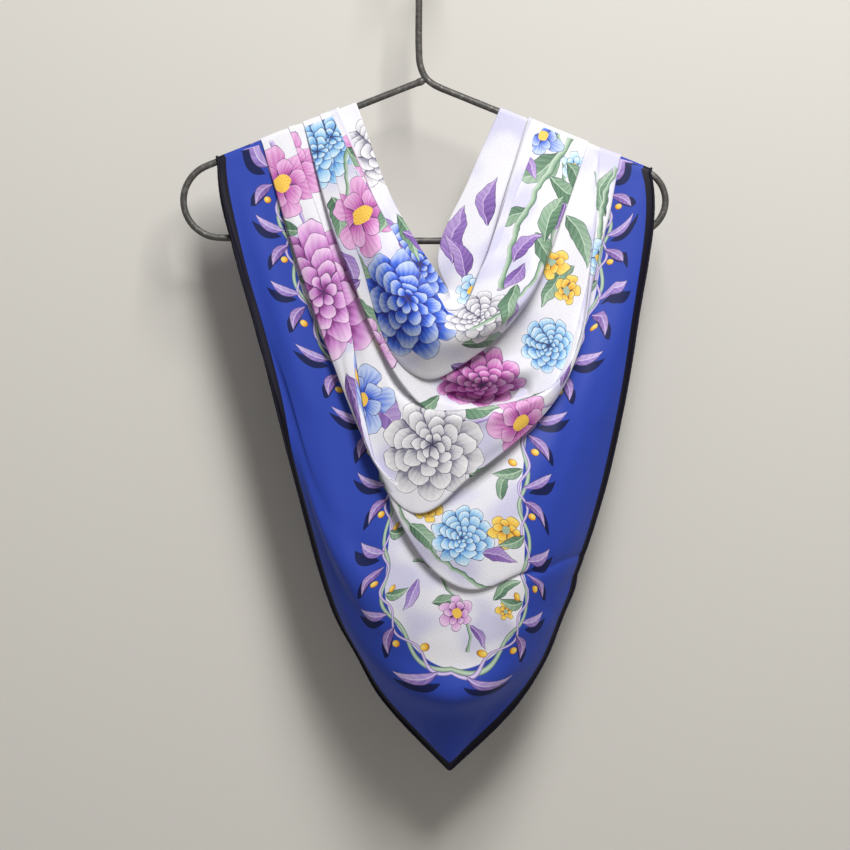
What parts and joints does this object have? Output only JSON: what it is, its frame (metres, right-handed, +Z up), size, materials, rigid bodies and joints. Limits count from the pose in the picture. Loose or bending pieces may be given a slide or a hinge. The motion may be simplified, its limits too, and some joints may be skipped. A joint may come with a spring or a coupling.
{
  "type": "silk square scarf on a wire hanger",
  "caption": "Printed silk square folded corner to corner and draped in swags over the arms of a round-rod iron hanger that hangs by its hook.",
  "frame": {"origin": "inner top of the hanger's hook, where what carries it touches it", "axes": "+Z up, +X to the right as seen from the front, the front faces -Y"},
  "size_m": [0.4207, 0.0988, 0.7455],
  "materials": {
    "silk_blue": "royal blue silk twill with a soft sheen",
    "silk_floral": "white silk twill printed with flowers, soft sheen",
    "forged_iron": "blackened forged rod, slightly uneven, half gloss"
  },
  "bodies": {
    "root": {"blue_hem_panel": "silk_blue", "outer_band": "silk_floral", "lower_swag": "silk_floral", "middle_band": "silk_floral", "cowl_swag": "silk_floral", "neckline_band": "silk_floral", "left_tail": "silk_floral", "right_tail": "silk_floral", "hanger_hook": "forged_iron", "hanger_arm_left": "forged_iron", "hanger_arm_right": "forged_iron", "hanger_loop_left": "forged_iron", "hanger_loop_right": "forged_iron", "hanger_bar": "forged_iron"}
  },
  "joints": []
}
